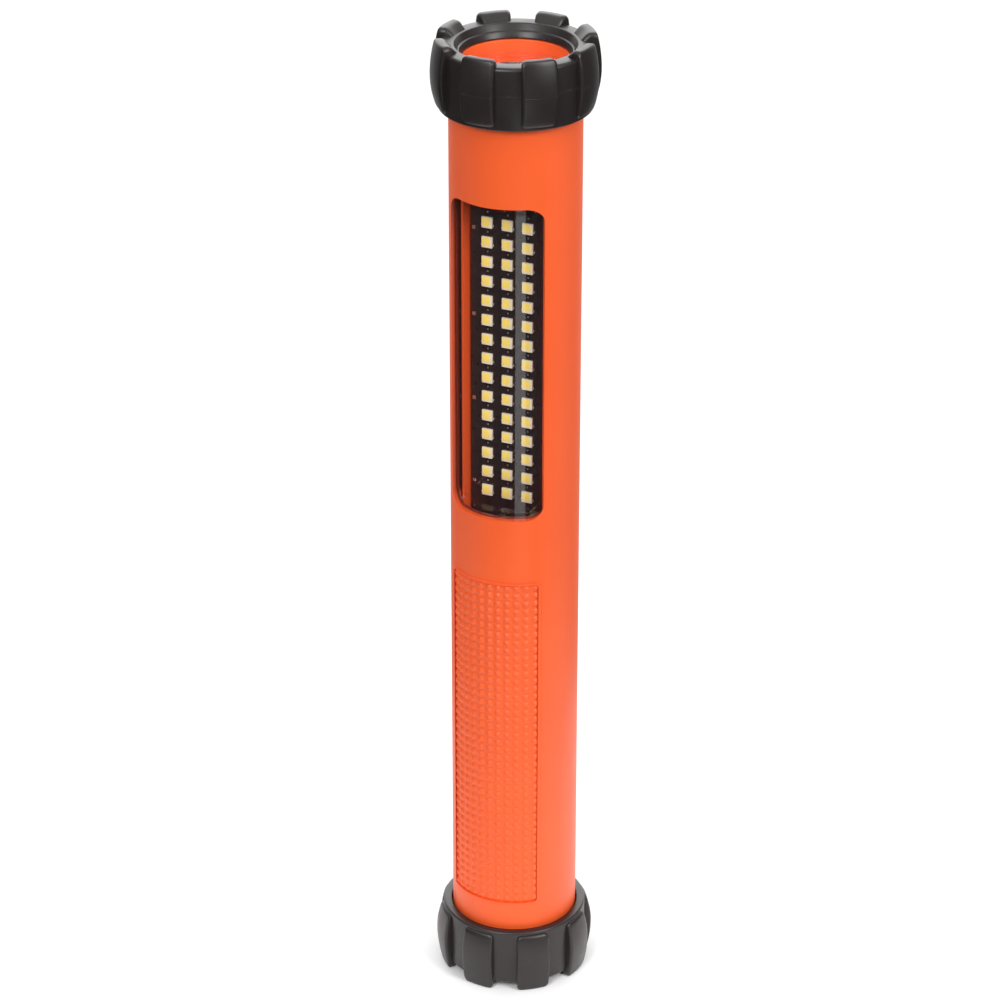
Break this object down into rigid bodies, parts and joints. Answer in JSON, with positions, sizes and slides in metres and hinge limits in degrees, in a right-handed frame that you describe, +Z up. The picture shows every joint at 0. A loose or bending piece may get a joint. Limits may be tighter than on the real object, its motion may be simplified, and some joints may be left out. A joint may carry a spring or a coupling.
{
  "type": "traffic baton light",
  "caption": "Hand-held orange work and signal light: side LED flood window, end torch, screw-on castellated rubber bumpers.",
  "frame": {"origin": "centre of the plane that the tail bumper's lug tips stand on", "axes": "+Z up the tube's axis to the torch end, -Y out of the flood window, +Y out of the switch"},
  "size_m": [0.0508, 0.0508, 0.3175],
  "materials": {
    "orange_plastic": "moulded, satin",
    "black_rubber": "moulded, matt",
    "clear_plastic": "clear polycarbonate, polished",
    "dark_seal": "moulded, matt",
    "black_board": "solder mask, satin",
    "green_board": "solder mask, satin",
    "plated_reflector": "vacuum plated, mirror",
    "aluminium": "turned",
    "nickelled_steel": "nickel plated",
    "black_plastic": "moulded",
    "cell_wrap": "printed wrap, plain",
    "red_wire": "insulation",
    "black_wire": "insulation"
  },
  "bodies": {
    "body": {"body_tube": "orange_plastic", "window_gasket": "dark_seal", "window_lens": "clear_plastic", "led_tray": "orange_plastic", "led_board": "black_board", "heat_spreader": "aluminium", "chassis": "black_plastic", "driver_board": "green_board", "switch_block": "black_plastic", "switch_bezel": "black_plastic", "torch_reflector": "plated_reflector", "torch_emitter": "black_board", "torch_heat_sink": "aluminium", "torch_lead_red": "red_wire", "torch_lead_black": "black_wire", "cell_lower": "cell_wrap", "cell_upper": "cell_wrap", "battery_contact": "nickelled_steel", "contact_insulator": "black_plastic", "earth_strip": "nickelled_steel", "tray_screw_1": "nickelled_steel", "tray_screw_2": "nickelled_steel", "tray_screw_3": "nickelled_steel", "tray_screw_4": "nickelled_steel"},
    "button": {"switch_button": "black_rubber"},
    "tail_contacts": {"tail_seal": "black_rubber", "tail_contact": "nickelled_steel", "tail_spring": "nickelled_steel"},
    "tail_cap": {"tail_cap": "black_plastic", "tail_bumper": "black_rubber"},
    "head_lens": {"head_seal": "black_rubber", "torch_lens": "clear_plastic"},
    "head_ring": {"head_bezel": "orange_plastic", "head_bumper": "black_rubber"}
  },
  "joints": [
    {"name": "tail_cap_travel", "type": "slide", "parent": "body", "child": "tail_contacts", "axis": [0, 0, -1], "range_m": [0, 0.012]},
    {"name": "tail_cap_turn", "type": "hinge", "parent": "tail_contacts", "child": "tail_cap", "pos_m": [0, 0, 0], "axis": [0, 0, -1], "range_deg": [0, 1440]},
    {"name": "head_ring_travel", "type": "slide", "parent": "body", "child": "head_lens", "axis": [0, 0, 1], "range_m": [0, 0.012]},
    {"name": "head_ring_turn", "type": "hinge", "parent": "head_lens", "child": "head_ring", "pos_m": [0, 0, 0.3175], "axis": [0, 0, 1], "range_deg": [0, 1440]},
    {"name": "button_press", "type": "slide", "parent": "body", "child": "button", "axis": [0, -1, 0], "range_m": [0, 0.001], "stiffness_N_per_m": 600, "springref_m": -0.0005}
  ],
  "couplings": [
    {"joint": "tail_cap_travel", "follows": "tail_cap_turn", "m_per_rad": 0.00047746},
    {"joint": "head_ring_travel", "follows": "head_ring_turn", "m_per_rad": 0.00047746}
  ]
}
